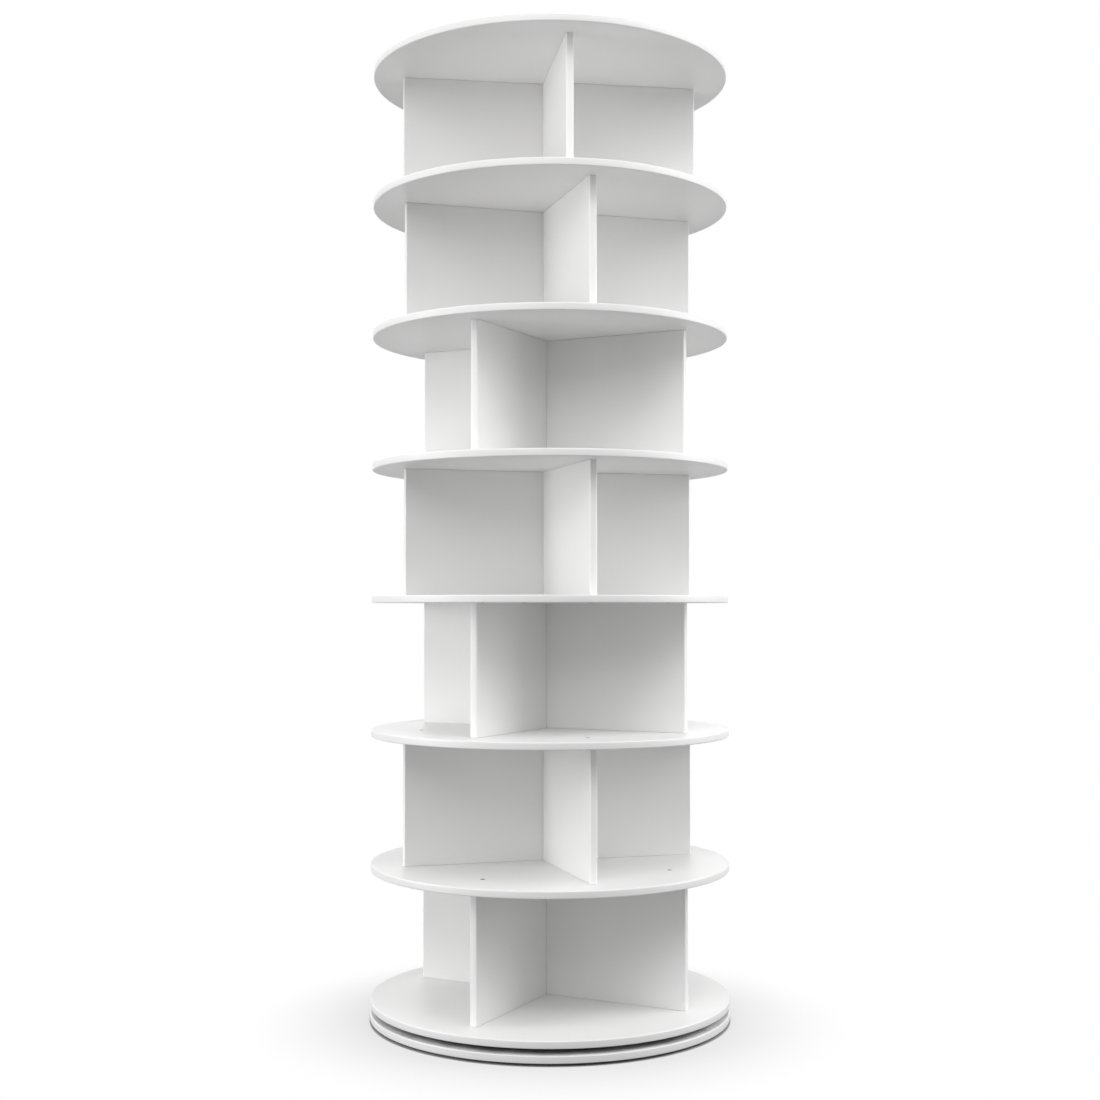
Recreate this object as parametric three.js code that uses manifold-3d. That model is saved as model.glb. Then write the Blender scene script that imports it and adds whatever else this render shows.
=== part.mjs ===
import * as THREE from "three";
import { mergeVertices } from "three/addons/utils/BufferGeometryUtils.js";
import Module from "manifold-3d";

// A rotating shoe tower, in millimetres. +Z is up, the origin is on the floor at the tower's axis,
// and the front faces -Y. Tiers and discs are numbered from the lowest one up.

// Boards
const discRadius = 300;
const boardThickness = 12; // discs, dividers and base are cut from one board
const edgeEase = 1; // chamfer of the banded edges
const tierHeight = 210; // clear height between two discs
const rimSetback = 50; // from a divider's outer end to the disc's rim
const fitGap = 0.3; // clearance at every seat, glue line and screw

// Each tier's four dividers stand like the sails of a windmill, turned by this many degrees
// from the square position, seen from above
const tierTurns = [-27, 17, -27, 17, -27, 17, 8.5];
const dividerSides = ["right", "back", "left", "front"];

// Fixings between dividers and discs
const dividerScrew = { headRadius: 3, shankRadius: 1.6, inset: 30 };
const dowelRadius = 4;
const dowelReach = 7; // depth that a dowel goes into a disc
const dowelInset = 80; // from the divider's inner end to the dowel

// Base
const footHeight = 4;
const footRadius = 16;
const footTaper = 1.5;
const footInset = 45; // from the base's rim to the foot's centre
const footCount = 6;

// Turntable: two flat rings, one inside the other, with balls between them
const turntableGap = 10; // clear height between the base and the lowest disc
const ballCircleRadius = 130;
const ballRadius = 2.5;
const ballCount = 16;
const ringWidth = 21;
const ringSplit = 2; // radial gap between the two rings
const ringStagger = 1; // height that each ring stands clear of the board it doesn't touch
const ringEase = 0.6;
const raceClearance = 0.4; // between a ball and its groove
const cageThickness = 1;
const cageRim = 0.6; // cage wall above and below the balls
const ringScrewCount = 4;
const ringScrew = { headRadius: 4, shankRadius: 2, tipLength: 3, bite: 8 }; // into the lowest disc
const baseScrew = { headRadius: 4.6, shankRadius: 2.5, tipLength: 0.8, bite: 6 }; // into the outer ring

// Facets
const discFacets = 60;
const ringFacets = 48;
const footFacets = 12;
const holeFacets = 8;
const dowelFacets = 6;
const ballFacets = 8;
const ballRows = 4;
const raceFacets = 4;
const cutOverrun = 1; // how far a cutting tool passes the face it leaves

// What follows from them
const tierCount = tierTurns.length;
const dividerLength = discRadius - rimSetback - fitGap;
const dividerHeight = tierHeight - 2 * fitGap;
const dividerMiddle = -boardThickness / 2; // a divider's +n face passes through the axis
const screwPlace = discRadius - rimSetback - dividerScrew.inset;
const baseTop = footHeight + boardThickness;
const towerBottom = baseTop + turntableGap;
const tierPitch = boardThickness + tierHeight;
const ringHeight = turntableGap - ringStagger - 2 * fitGap;
const raceRadius = ballRadius + raceClearance;
const outerRingBore = ballCircleRadius + ringSplit / 2;
const innerRingRadius = ballCircleRadius - ringSplit / 2;
const outerRingPitch = outerRingBore + ringWidth / 2;
const innerRingPitch = innerRingRadius - ringWidth / 2;

const wasm = await Module();
wasm.setup();

// A closed geometry as a solid that can be cut and joined
function solidOf(geometry) {
  const bare = new THREE.BufferGeometry();
  bare.setAttribute("position", geometry.getAttribute("position"));
  bare.setIndex(geometry.getIndex());
  const merged = mergeVertices(bare, 1e-4);
  const corners = merged.index.array;
  const kept = [];
  for (let i = 0; i < corners.length; i += 3) {
    const [a, b, c] = corners.slice(i, i + 3);
    if (a !== b && b !== c && c !== a) kept.push(a, b, c);
  }
  return new wasm.Manifold(
    new wasm.Mesh({
      numProp: 3,
      vertProperties: merged.getAttribute("position").array,
      triVerts: new Uint32Array(kept),
    }),
  );
}

function geometryOf(solid) {
  const mesh = solid.getMesh();
  const geometry = new THREE.BufferGeometry();
  geometry.setAttribute("position", new THREE.BufferAttribute(mesh.vertProperties, 3));
  geometry.setIndex(new THREE.BufferAttribute(mesh.triVerts, 1));
  const faceted = geometry.toNonIndexed();
  faceted.computeVertexNormals();
  return faceted;
}

// A profile of [radius, height] pairs, turned round the Z axis
function turned(profile, facets) {
  const points = profile.map(([radius, height]) => new THREE.Vector2(radius, height));
  return new THREE.LatheGeometry(points, facets).rotateX(Math.PI / 2);
}

// A point on a divider's middle line, at this distance from the axis, for a divider at this angle
function onDivider(distance, angle) {
  const x = distance * Math.cos(angle) - dividerMiddle * Math.sin(angle);
  const y = distance * Math.sin(angle) + dividerMiddle * Math.cos(angle);
  return [x, y];
}

function dividerAngle(tier, side) {
  return THREE.MathUtils.degToRad(tierTurns[tier - 1]) + (side * Math.PI * 2) / dividerSides.length;
}

function ringAngle(index, count) {
  return ((index + 0.5) * Math.PI * 2) / count;
}

// Materials
const melamine = { color: 0xf3f3f2, roughness: 0.42, metalness: 0 };
const aluminium = { color: 0xb8bbbf, roughness: 0.35, metalness: 1 };
const steel = { color: 0xa4a7ab, roughness: 0.3, metalness: 1 };
const nylon = { color: 0xe4e1d8, roughness: 0.5, metalness: 0 };
const rubber = { color: 0x2a2a2b, roughness: 0.85, metalness: 0 };

const tower = new THREE.Group();

function place(name, geometry, finish, height, angle = 0, [x, y] = [0, 0]) {
  const mesh = new THREE.Mesh(geometry, new THREE.MeshStandardMaterial(finish));
  mesh.name = name;
  mesh.position.set(x, y, height);
  mesh.rotation.z = angle;
  tower.add(mesh);
}

// A round board, lying on z = 0, with both rims eased
function roundBoard() {
  const rim = discRadius - edgeEase;
  const profile = [
    [0, 0],
    [rim, 0],
    [discRadius, edgeEase],
    [discRadius, boardThickness - edgeEase],
    [rim, boardThickness],
    [0, boardThickness],
  ];
  return solidOf(turned(profile, discFacets));
}

// The corner radius of a faceted hole whose flats clear a round of this radius
function clearing(radius, facets) {
  return (radius + fitGap) / Math.cos(Math.PI / facets);
}

// The tool that cuts a countersunk hole for a screw whose head lies flush at z = 0 and which
// points up
function countersink(screw, depth) {
  const headRadius = clearing(screw.headRadius, holeFacets);
  const shankRadius = clearing(screw.shankRadius, holeFacets);
  const profile = [
    [0, -cutOverrun],
    [headRadius, -cutOverrun],
    [headRadius, 0],
    [shankRadius, headRadius - shankRadius],
    [shankRadius, depth],
    [0, depth],
  ];
  return solidOf(turned(profile, holeFacets));
}

// A round peg or drill that starts at z = 0 and goes up
function peg(radius, bottom, top, facets) {
  const profile = [
    [0, bottom],
    [radius, bottom],
    [radius, top],
    [0, top],
  ];
  return solidOf(turned(profile, facets));
}

function mirrored(solid, height) {
  return solid.mirror([0, 0, 1]).translate([0, 0, height]);
}

// The holes that one tier's dividers need in a disc: a countersunk one for the screw, which
// enters from the disc's far face, and a blind one for the dowel, in the face that they meet
function tierHoles(tier, isAbove) {
  const throughHole = countersink(dividerScrew, boardThickness + cutOverrun);
  const socketRadius = clearing(dowelRadius, dowelFacets);
  const socket = peg(socketRadius, -cutOverrun, dowelReach, dowelFacets);
  const screwHole = isAbove ? throughHole : mirrored(throughHole, boardThickness);
  const dowelHole = isAbove ? mirrored(socket, boardThickness) : socket;
  return dividerSides.flatMap((_, side) => {
    const angle = dividerAngle(tier, side);
    return [
      screwHole.translate([...onDivider(screwPlace, angle), 0]),
      dowelHole.translate([...onDivider(dowelInset, angle), 0]),
    ];
  });
}

// The places of the screws round a ring
function ringPlaces(radius) {
  return Array.from({ length: ringScrewCount }, (_, i) => {
    const angle = ringAngle(i, ringScrewCount);
    return [radius * Math.cos(angle), radius * Math.sin(angle)];
  });
}

// Discs
for (let disc = 1; disc <= tierCount + 1; disc += 1) {
  const holes = [];
  if (disc > 1) holes.push(...tierHoles(disc - 1, false));
  if (disc <= tierCount) holes.push(...tierHoles(disc, true));
  if (disc === 1) {
    const drillRadius = clearing(ringScrew.shankRadius, holeFacets);
    const drill = peg(drillRadius, -cutOverrun, ringScrew.bite + fitGap, holeFacets);
    holes.push(...ringPlaces(innerRingPitch).map(([x, y]) => drill.translate([x, y, 0])));
  }
  const board = roundBoard().subtract(wasm.Manifold.union(holes));
  place(`disc_${disc}`, geometryOf(board), melamine, towerBottom + (disc - 1) * tierPitch);
}

// A divider, with its inner end on x = 0 and its bottom on z = 0: eased outer edges, and a dowel
// glued in near the inner end at top and bottom. The screw near the outer end cuts its own hole
function divider() {
  const outline = new THREE.Shape();
  outline.moveTo(0, -boardThickness);
  outline.lineTo(dividerLength - edgeEase, -boardThickness);
  outline.lineTo(dividerLength, -boardThickness + edgeEase);
  outline.lineTo(dividerLength, -edgeEase);
  outline.lineTo(dividerLength - edgeEase, 0);
  outline.lineTo(0, 0);
  const board = solidOf(
    new THREE.ExtrudeGeometry(outline, { depth: dividerHeight, bevelEnabled: false }),
  );
  const dowel = peg(dowelRadius, -dowelReach, dowelReach, dowelFacets);
  const dowelAt = [dowelInset - fitGap, dividerMiddle, 0];
  return board
    .add(dowel.translate(dowelAt))
    .add(mirrored(dowel, dividerHeight).translate(dowelAt));
}

// Dividers
const dividerGeometry = geometryOf(divider());
for (let tier = 1; tier <= tierCount; tier += 1) {
  const height = towerBottom + (tier - 1) * tierPitch + boardThickness + fitGap;
  dividerSides.forEach((side, index) => {
    const angle = dividerAngle(tier, index);
    const inner = [fitGap * Math.cos(angle), fitGap * Math.sin(angle)];
    place(`divider_${tier}_${side}`, dividerGeometry.clone(), melamine, height, angle, inner);
  });
}

// A countersunk screw that points up, with its head's face on z = 0
function screwGeometry(screw, length) {
  const profile = [
    [0, 0],
    [screw.headRadius, 0],
    [screw.shankRadius, screw.headRadius - screw.shankRadius],
    [screw.shankRadius, length - screw.tipLength],
    [0, length],
  ];
  return geometryOf(solidOf(turned(profile, holeFacets)));
}

// Base board, with countersunk holes from below for the screws that hold the outer ring
const baseHole = countersink(baseScrew, boardThickness + cutOverrun);
const baseHoles = ringPlaces(outerRingPitch).map(([x, y]) => baseHole.translate([x, y, 0]));
const base = roundBoard().subtract(wasm.Manifold.union(baseHoles));
place("base_board", geometryOf(base), melamine, footHeight);

// Feet
const footProfile = [
  [0, 0],
  [footRadius - footTaper, 0],
  [footRadius, footTaper],
  [footRadius, footHeight - fitGap],
  [0, footHeight - fitGap],
];
const footGeometry = geometryOf(solidOf(turned(footProfile, footFacets)));
for (let i = 0; i < footCount; i += 1) {
  const angle = ringAngle(i, footCount);
  const radius = discRadius - footInset;
  const at = [radius * Math.cos(angle), radius * Math.sin(angle)];
  place(`foot_${i + 1}`, footGeometry.clone(), rubber, 0, 0, at);
}

// A bearing ring, lying on z = 0, with a ball groove in the edge that faces the other ring.
// outward is 1 for the outer ring and -1 for the inner one, and grooveHeight is the height of the
// balls' centres. The outer ring's bore is widened so that its flats, too, clear what turns in it
function bearingRing(outward, grooveHeight) {
  const widened = outward > 0 ? 1 / Math.cos(Math.PI / ringFacets) : 1;
  const mouth = Math.acos(ringSplit / 2 / raceRadius);
  const groove = [];
  for (let i = 0; i <= raceFacets; i += 1) {
    const swing = mouth * (1 - (2 * i) / raceFacets);
    const radius = ballCircleRadius + outward * raceRadius * Math.cos(swing);
    groove.push([radius * widened, grooveHeight + raceRadius * Math.sin(swing)]);
  }
  const near = (ballCircleRadius + (outward * ringSplit) / 2) * widened;
  const far = ballCircleRadius + outward * (ringSplit / 2 + ringWidth);
  const profile = [
    [near, 0],
    [far - outward * ringEase, 0],
    [far, ringEase],
    [far, ringHeight - ringEase],
    [far - outward * ringEase, ringHeight],
    [near, ringHeight],
    ...groove,
    [near, 0],
  ];
  const closed = outward > 0 ? profile : profile.reverse();
  return solidOf(turned(closed, ringFacets));
}

// Outer ring, which lies on the base
const ballHeight = baseTop + turntableGap / 2;
const outerRingBottom = baseTop + fitGap;
const tappedRadius = clearing(baseScrew.shankRadius, holeFacets);
const tapped = peg(tappedRadius, -cutOverrun, ringHeight + cutOverrun, holeFacets);
const tappedHoles = ringPlaces(outerRingPitch).map(([x, y]) => tapped.translate([x, y, 0]));
const outerRing = bearingRing(1, ballHeight - outerRingBottom).subtract(
  wasm.Manifold.union(tappedHoles),
);
place("bearing_outer_ring", geometryOf(outerRing), aluminium, outerRingBottom);

// Inner ring, which hangs under the lowest disc
const innerRingBottom = towerBottom - fitGap - ringHeight;
const sunk = countersink(ringScrew, ringHeight + cutOverrun);
const sunkHoles = ringPlaces(innerRingPitch).map(([x, y]) => sunk.translate([x, y, 0]));
const innerRing = bearingRing(-1, ballHeight - innerRingBottom).subtract(
  wasm.Manifold.union(sunkHoles),
);
place("bearing_inner_ring", geometryOf(innerRing), aluminium, innerRingBottom);

// Cage, with its balls
const cageReach = ballRadius + cageRim;
const cageProfile = [
  [ballCircleRadius - cageThickness / 2, -cageReach],
  [ballCircleRadius + cageThickness / 2, -cageReach],
  [ballCircleRadius + cageThickness / 2, cageReach],
  [ballCircleRadius - cageThickness / 2, cageReach],
  [ballCircleRadius - cageThickness / 2, -cageReach],
];
const ball = solidOf(new THREE.SphereGeometry(ballRadius, ballFacets, ballRows));
const balls = Array.from({ length: ballCount }, (_, i) => {
  const angle = ringAngle(i, ballCount);
  const turn = THREE.MathUtils.radToDeg(angle);
  return ball.translate([ballCircleRadius, 0, 0]).rotate([0, 0, turn]);
});
const cage = solidOf(turned(cageProfile, ringFacets)).add(wasm.Manifold.union(balls));
place("ball_cage", geometryOf(cage), nylon, ballHeight);

// Screws
const baseScrewGeometry = screwGeometry(baseScrew, boardThickness + fitGap + baseScrew.bite);
ringPlaces(outerRingPitch).forEach((at, i) => {
  place(`base_screw_${i + 1}`, baseScrewGeometry.clone(), steel, footHeight, 0, at);
});
const ringScrewGeometry = screwGeometry(ringScrew, ringHeight + fitGap + ringScrew.bite);
ringPlaces(innerRingPitch).forEach((at, i) => {
  place(`ring_screw_${i + 1}`, ringScrewGeometry.clone(), steel, innerRingBottom, 0, at);
});

export default tower;
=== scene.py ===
import math
import random
import bmesh
import bpy
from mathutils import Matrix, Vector
from mathutils.geometry import delaunay_2d_cdt


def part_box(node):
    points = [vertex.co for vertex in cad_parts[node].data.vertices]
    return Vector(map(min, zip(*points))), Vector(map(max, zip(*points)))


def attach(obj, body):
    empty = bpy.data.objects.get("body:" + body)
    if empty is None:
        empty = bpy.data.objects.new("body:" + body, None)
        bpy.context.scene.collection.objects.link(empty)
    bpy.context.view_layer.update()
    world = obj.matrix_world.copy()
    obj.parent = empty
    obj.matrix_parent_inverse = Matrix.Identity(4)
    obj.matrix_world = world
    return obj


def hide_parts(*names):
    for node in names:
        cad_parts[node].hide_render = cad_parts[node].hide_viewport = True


# Rotating shoe tower: eight round white boards on a turntable, with four dividers in each of the
# seven tiers, set like a windmill's sails. Metres, +Z up, the front faces -Y
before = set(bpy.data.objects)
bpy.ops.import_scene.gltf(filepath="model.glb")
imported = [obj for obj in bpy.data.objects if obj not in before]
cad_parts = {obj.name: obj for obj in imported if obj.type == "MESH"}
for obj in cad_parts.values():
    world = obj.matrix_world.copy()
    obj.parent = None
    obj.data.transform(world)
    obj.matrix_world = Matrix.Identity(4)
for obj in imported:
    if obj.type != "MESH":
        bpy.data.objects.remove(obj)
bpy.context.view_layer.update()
mm = 0.001
tiny = 1e-6  # lengths below this count as none
mergeReach = 1e-7  # corners of a flat face that are closer than this are one

# Numbers of the finishes in a board's list
faceFinish, bandFinish, coreFinish, edgeFinish, gapShadeFinish = range(5)

edges = {
    "bandThickness": 2.3 * mm,
    "edgeRadius": 1.9 * mm,
    "edgeSteps": 6,
    "seamWidth": 0.25 * mm,  # glue line between a band and a board's face
    "seamDepth": 0.12 * mm,
    "creaseAngle": math.radians(28),
}


# Mesh work

def circleAngles(count, phase=0.0):
    return [phase + math.tau * i / count for i in range(count)]


def addRing(mesh, radius, height, angles, centre=(0.0, 0.0)):
    x, y = centre
    return [mesh.verts.new((x + radius * math.cos(a), y + radius * math.sin(a), height)) for a in angles]


def addWall(mesh, lower, upper, finish=faceFinish, smooth=True):
    for corners in zip(lower, lower[1:] + lower[:1], upper[1:] + upper[:1], upper):
        face = mesh.faces.new(corners)
        face.material_index = finish
        face.smooth = smooth


# Rings up a profile face outwards, and rings down one face the axis, as in a hole.
# finish is one number, or a list with one for each step of the profile
def sweep(mesh, profile, angles, centre=(0.0, 0.0), finish=faceFinish):
    rings = [addRing(mesh, radius, height, angles, centre) for radius, height in profile]
    steps = len(profile) - 1
    for i, number in enumerate(finish if isinstance(finish, list) else [finish] * steps):
        addWall(mesh, rings[i], rings[i + 1], number)
    return rings


# One flat face inside the first loop and outside the others, which all turn leftwards
def fillFlat(mesh, loops, facesUp, finish=faceFinish):
    corners, outlines = [], []
    for loop in loops:
        outlines.append(range(len(corners), len(corners) + len(loop)))
        corners += loop
    places = [corner.co.to_2d() for corner in corners]
    filled = delaunay_2d_cdt(places, [], [list(outline) for outline in outlines], 1, mergeReach)
    sources, triangles, owners = filled[3], filled[2], filled[5]
    for triangle, loopsRound in zip(triangles, owners):
        if len(loopsRound) > 1:
            continue  # in a hole
        picked = [corners[sources[i][0]] for i in triangle]
        face = mesh.faces.new(picked if facesUp else picked[::-1])
        face.material_index = finish
        face.smooth = False


def arc(centre, radius, start, end, steps):
    turns = [start + (end - start) * i / steps for i in range(steps + 1)]
    return [(centre[0] + radius * math.cos(a), centre[1] + radius * math.sin(a)) for a in turns]


def newObject(name, mesh, finishes=()):
    for edge in mesh.edges:
        edge.smooth = edge.calc_face_angle(0) < edges["creaseAngle"]
    data = bpy.data.meshes.new(name)
    mesh.to_mesh(data)
    mesh.free()
    for finish in finishes:
        data.materials.append(finish)
    piece = bpy.data.objects.new(name, data)
    bpy.context.scene.collection.objects.link(piece)
    return piece


# Keeps a template's finish numbers where the node trees can read them
def markFinishes(piece):
    numbers = [face.material_index for face in piece.data.polygons]
    piece.data.attributes.new("finish", "INT", "FACE").data.foreach_set("value", numbers)


# Hands a finished piece to its body, and hides the nodes that it stands for, if any
def settle(piece, body, slot, *nodes):
    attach(piece, body)
    if nodes:
        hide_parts(*nodes)


# Node work

def newNode(tree, kind, inputs=None, **settings):
    node = tree.nodes.new(kind)
    for name, value in settings.items():
        setattr(node, name, value)
    for name, value in (inputs or {}).items():
        if isinstance(value, bpy.types.NodeSocket):
            tree.links.new(value, node.inputs[name])
        else:
            node.inputs[name].default_value = value
    return node


def newTree(name, kind, inputs, outputs):
    tree = bpy.data.node_groups.new(name, kind)
    for direction, sockets in (("INPUT", inputs), ("OUTPUT", outputs)):
        for label, (socketKind, value) in sockets.items():
            socket = tree.interface.new_socket(label, in_out=direction,
                                               socket_type="NodeSocket" + socketKind)
            if value is not None:
                socket.default_value = value
    return tree, tree.nodes.new("NodeGroupInput").outputs, tree.nodes.new("NodeGroupOutput").inputs


# An input labelled Pit Size is given as pitSize
def inputKey(socket):
    key = socket.name.replace(" ", "")
    return key[0].lower() + key[1:]


def calculate(tree, operation, first, second=0.0):
    return newNode(tree, "ShaderNodeMath", {0: first, 1: second}, operation=operation).outputs[0]


def calculateVector(tree, operation, first, second=(0.0, 0.0, 0.0)):
    return newNode(tree, "ShaderNodeVectorMath", {0: first, 1: second}, operation=operation).outputs


# In the order of the finishes' numbers
finishInputs = {
    "Main Finish": ("Material", None),
    "Band Finish": ("Material", None),
    "Core Finish": ("Material", None),
    "Edge Finish": ("Material", None),
}


def geometryTree(name, inputs):
    return newTree(name, "GeometryNodeTree", inputs | finishInputs, {"Geometry": ("Geometry", None)})


# The last nodes of every tree: real geometry, with each finish where the template has it
def realizeWithFinishes(tree, instances, given, result):
    shape = newNode(tree, "GeometryNodeRealizeInstances", {"Geometry": instances}).outputs[0]
    number = newNode(tree, "GeometryNodeInputNamedAttribute", {"Name": "finish"}, data_type="INT")
    for i, label in enumerate(finishInputs):
        compare = newNode(tree, "FunctionNodeCompare", data_type="INT", operation="EQUAL")
        tree.links.new(number.outputs["Attribute"], compare.inputs[2])
        compare.inputs[3].default_value = i
        shape = newNode(tree, "GeometryNodeSetMaterial", {
            "Geometry": shape,
            "Selection": compare.outputs[0],
            "Material": given[label],
        }).outputs[0]
    tree.links.new(shape, result[0])


circleInputs = {
    "Geometry": ("Geometry", None),
    "Count": ("Int", 4),
    "Turn": ("Float", 0.0),
    "Distance": ("Float", 0.0),
    "Lift": ("Float", 0.0),
}


# Points round the tower's axis, and the angle that each one stands at
def circlePoints(tree, given):
    step = calculate(tree, "DIVIDE", math.tau, given["Count"])
    swing = calculate(tree, "MULTIPLY", tree.nodes.new("GeometryNodeInputIndex").outputs[0], step)
    angle = calculate(tree, "ADD", swing, given["Turn"])
    start = newNode(tree, "ShaderNodeCombineXYZ", {"X": given["Distance"], "Z": given["Lift"]}).outputs[0]
    spot = newNode(tree, "ShaderNodeVectorRotate", {"Vector": start, "Angle": angle},
                   rotation_type="Z_AXIS").outputs[0]
    points = newNode(tree, "GeometryNodePoints", {"Count": given["Count"], "Position": spot}).outputs[0]
    return points, angle


# Copies of a template round the tower's axis, each turned to face its own way
def aroundAxisTree():
    tree, given, result = geometryTree("aroundAxis", circleInputs)
    points, angle = circlePoints(tree, given)
    copies = newNode(tree, "GeometryNodeInstanceOnPoints", {
        "Points": points,
        "Instance": given["Geometry"],
        "Rotation": newNode(tree, "ShaderNodeCombineXYZ", {"Z": angle}).outputs[0],
    }).outputs[0]
    realizeWithFinishes(tree, copies, given, result)
    return tree


# A screw at every place, upright or upside down, each with its recess turned at random
def atPlacesTree():
    inputs = {"Geometry": ("Geometry", None), "Screw": ("Object", None), "Seed": ("Int", 1)}
    tree, given, result = geometryTree("atPlaces", inputs)
    screw = newNode(tree, "GeometryNodeObjectInfo", {"Object": given["Screw"]}).outputs["Geometry"]
    flip = newNode(tree, "GeometryNodeInputNamedAttribute", {"Name": "flip"}, data_type="FLOAT")
    spin = newNode(tree, "FunctionNodeRandomValue", {"Seed": given["Seed"]}, data_type="FLOAT")
    spin.inputs[3].default_value = math.tau
    facing = newNode(tree, "ShaderNodeCombineXYZ", {
        "X": calculate(tree, "MULTIPLY", flip.outputs["Attribute"], math.pi),
        "Z": spin.outputs[1],
    }).outputs[0]
    copies = newNode(tree, "GeometryNodeInstanceOnPoints", {
        "Points": given["Geometry"],
        "Instance": screw,
        "Rotation": facing,
    }).outputs[0]
    realizeWithFinishes(tree, copies, given, result)
    return tree


# Round pockets cut through a strip that stands round the axis
def pocketTree():
    pocketInputs = {"Pocket Radius": ("Float", 0.0), "Reach": ("Float", 0.01), "Facets": ("Int", 24)}
    tree, given, result = geometryTree("pockets", circleInputs | pocketInputs)
    points, angle = circlePoints(tree, given)
    drill = newNode(tree, "GeometryNodeMeshCylinder", {
        "Vertices": given["Facets"],
        "Radius": given["Pocket Radius"],
        "Depth": given["Reach"],
    })
    drills = newNode(tree, "GeometryNodeInstanceOnPoints", {
        "Points": points,
        "Instance": drill.outputs["Mesh"],
        "Rotation": newNode(tree, "ShaderNodeCombineXYZ", {"Y": math.pi / 2, "Z": angle}).outputs[0],
    }).outputs[0]
    tools = newNode(tree, "GeometryNodeRealizeInstances", {"Geometry": drills}).outputs[0]
    cut = newNode(tree, "GeometryNodeMeshBoolean", operation="DIFFERENCE", solver="EXACT")
    tree.links.new(given["Geometry"], cut.inputs["Mesh 1"])
    tree.links.new(tools, cut.inputs["Mesh 2"])
    realizeWithFinishes(tree, cut.outputs[0], given, result)
    return tree


# Runs a tree on a template and leaves a plain mesh
def growWith(piece, tree, **values):
    modifier = piece.modifiers.new(tree.name, "NODES")
    modifier.node_group = tree
    for socket in tree.interface.items_tree:
        if socket.in_out == "INPUT" and inputKey(socket) in values:
            modifier[socket.identifier] = values[inputKey(socket)]
    graph = bpy.context.evaluated_depsgraph_get()
    grown = bpy.data.meshes.new_from_object(piece.evaluated_get(graph), depsgraph=graph)
    piece.modifiers.clear()
    template = piece.data
    piece.data = grown
    grown.name = piece.name
    bpy.data.meshes.remove(template)
    if "finish" in grown.attributes:
        grown.attributes.remove(grown.attributes["finish"])
    if grown.materials[0] is None:
        grown.materials.pop(index=0)  # the template's empty slot
    return piece


# Finishes

noiseSpan = (0.3, 0.7)  # where most of a noise's values lie
pitShare = 0.4  # the fine pits' share in a face's gloss

# How far a white edge band's tone swings either way, and how warm it is
bandTone = {"swing": 0.01, "warmth": 0.001}

# Painted shade in the turntable's gap: grey towards the middle of the hidden faces, mottled by noise; the
# distances are from the tower's axis
gapShade = {
    "from": 0.262,
    "to": 0.290,
    "color": (0.09, 0.09, 0.09),
    "cleanColor": (0.80, 0.80, 0.80),
    "patchTone": 0.45,
}

# How fast a band's fine marks change on X, Y and Z: slowly along the band, so they are long
alongRim = (0.04, 0.04, 1.0)
alongUpright = (1.0, 1.0, 0.04)


# Fine pits pressed into a melamine face, with a slow drift of tone and gloss over the board
def pearlGroup():
    group, given, result = newTree("pearlPits", "ShaderNodeTree", {
        "Place": ("Vector", None),
        "Pit Size": ("Float", 0.6 * mm),
        "Drift Size": ("Float", 0.12),
    }, {"Height": ("Float", None), "Tone": ("Float", None), "Gloss": ("Float", None)})
    pits = newNode(group, "ShaderNodeTexNoise", {
        "Vector": given["Place"],
        "Scale": calculate(group, "DIVIDE", 1.0, given["Pit Size"]),
        "Detail": 1.5,
        "Roughness": 0.4,
    })
    drift = newNode(group, "ShaderNodeTexNoise", {
        "Vector": given["Place"],
        "Scale": calculate(group, "DIVIDE", 1.0, given["Drift Size"]),
        "Detail": 3.0,
    })
    group.links.new(pits.outputs[0], result["Height"])
    group.links.new(drift.outputs[0], result["Tone"])
    fromPits = calculate(group, "MULTIPLY", pits.outputs[0], pitShare)
    fromDrift = calculate(group, "MULTIPLY", drift.outputs[0], 1 - pitShare)
    group.links.new(calculate(group, "ADD", fromPits, fromDrift), result["Gloss"])
    return group


# Long fine marks that a scraper, a drawing die or a polishing wheel leaves
def drawnGroup():
    group, given, result = newTree("drawnMarks", "ShaderNodeTree", {
        "Place": ("Vector", None),
        "Stretch": ("Vector", (1.0, 1.0, 1.0)),
        "Mark Size": ("Float", 0.4 * mm),
    }, {"Height": ("Float", None), "Gloss": ("Float", None)})
    marks = newNode(group, "ShaderNodeTexNoise", {
        "Vector": calculateVector(group, "MULTIPLY", given["Place"], given["Stretch"])[0],
        "Scale": calculate(group, "DIVIDE", 1.0, given["Mark Size"]),
        "Detail": 3.0,
    })
    group.links.new(marks.outputs[0], result["Height"])
    group.links.new(marks.outputs[0], result["Gloss"])
    return group


def axisDistance(tree, place):
    flat = calculateVector(tree, "MULTIPLY", place, (1, 1, 0))[0]
    return calculateVector(tree, "LENGTH", flat)["Value"]


# Rings left by a lathe tool, told apart by their distance from the tower's axis
def turnedGroup():
    group, given, result = newTree("turnedRings", "ShaderNodeTree", {
        "Place": ("Vector", None),
        "Ring Width": ("Float", 0.3 * mm),
    }, {"Height": ("Float", None), "Gloss": ("Float", None)})
    rings = newNode(group, "ShaderNodeTexNoise", {
        "W": calculate(group, "DIVIDE", axisDistance(group, given["Place"]), given["Ring Width"]),
        "Scale": 1.0,
        "Detail": 2.0,
    }, noise_dimensions="1D")
    group.links.new(rings.outputs[0], result["Height"])
    group.links.new(rings.outputs[0], result["Gloss"])
    return group


def newMaterial(name, metallic=0.0, **sockets):
    material = bpy.data.materials.new(name)
    material.use_nodes = True
    tree = material.node_tree
    tree.nodes.clear()
    shader = newNode(tree, "ShaderNodeBsdfPrincipled", {"Metallic": metallic})
    for label, value in sockets.items():
        shader.inputs[label].default_value = value
    output = tree.nodes.new("ShaderNodeOutputMaterial")
    tree.links.new(shader.outputs[0], output.inputs["Surface"])
    place = tree.nodes.new("ShaderNodeTexCoord").outputs["Object"]
    return material, tree, shader, place


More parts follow.
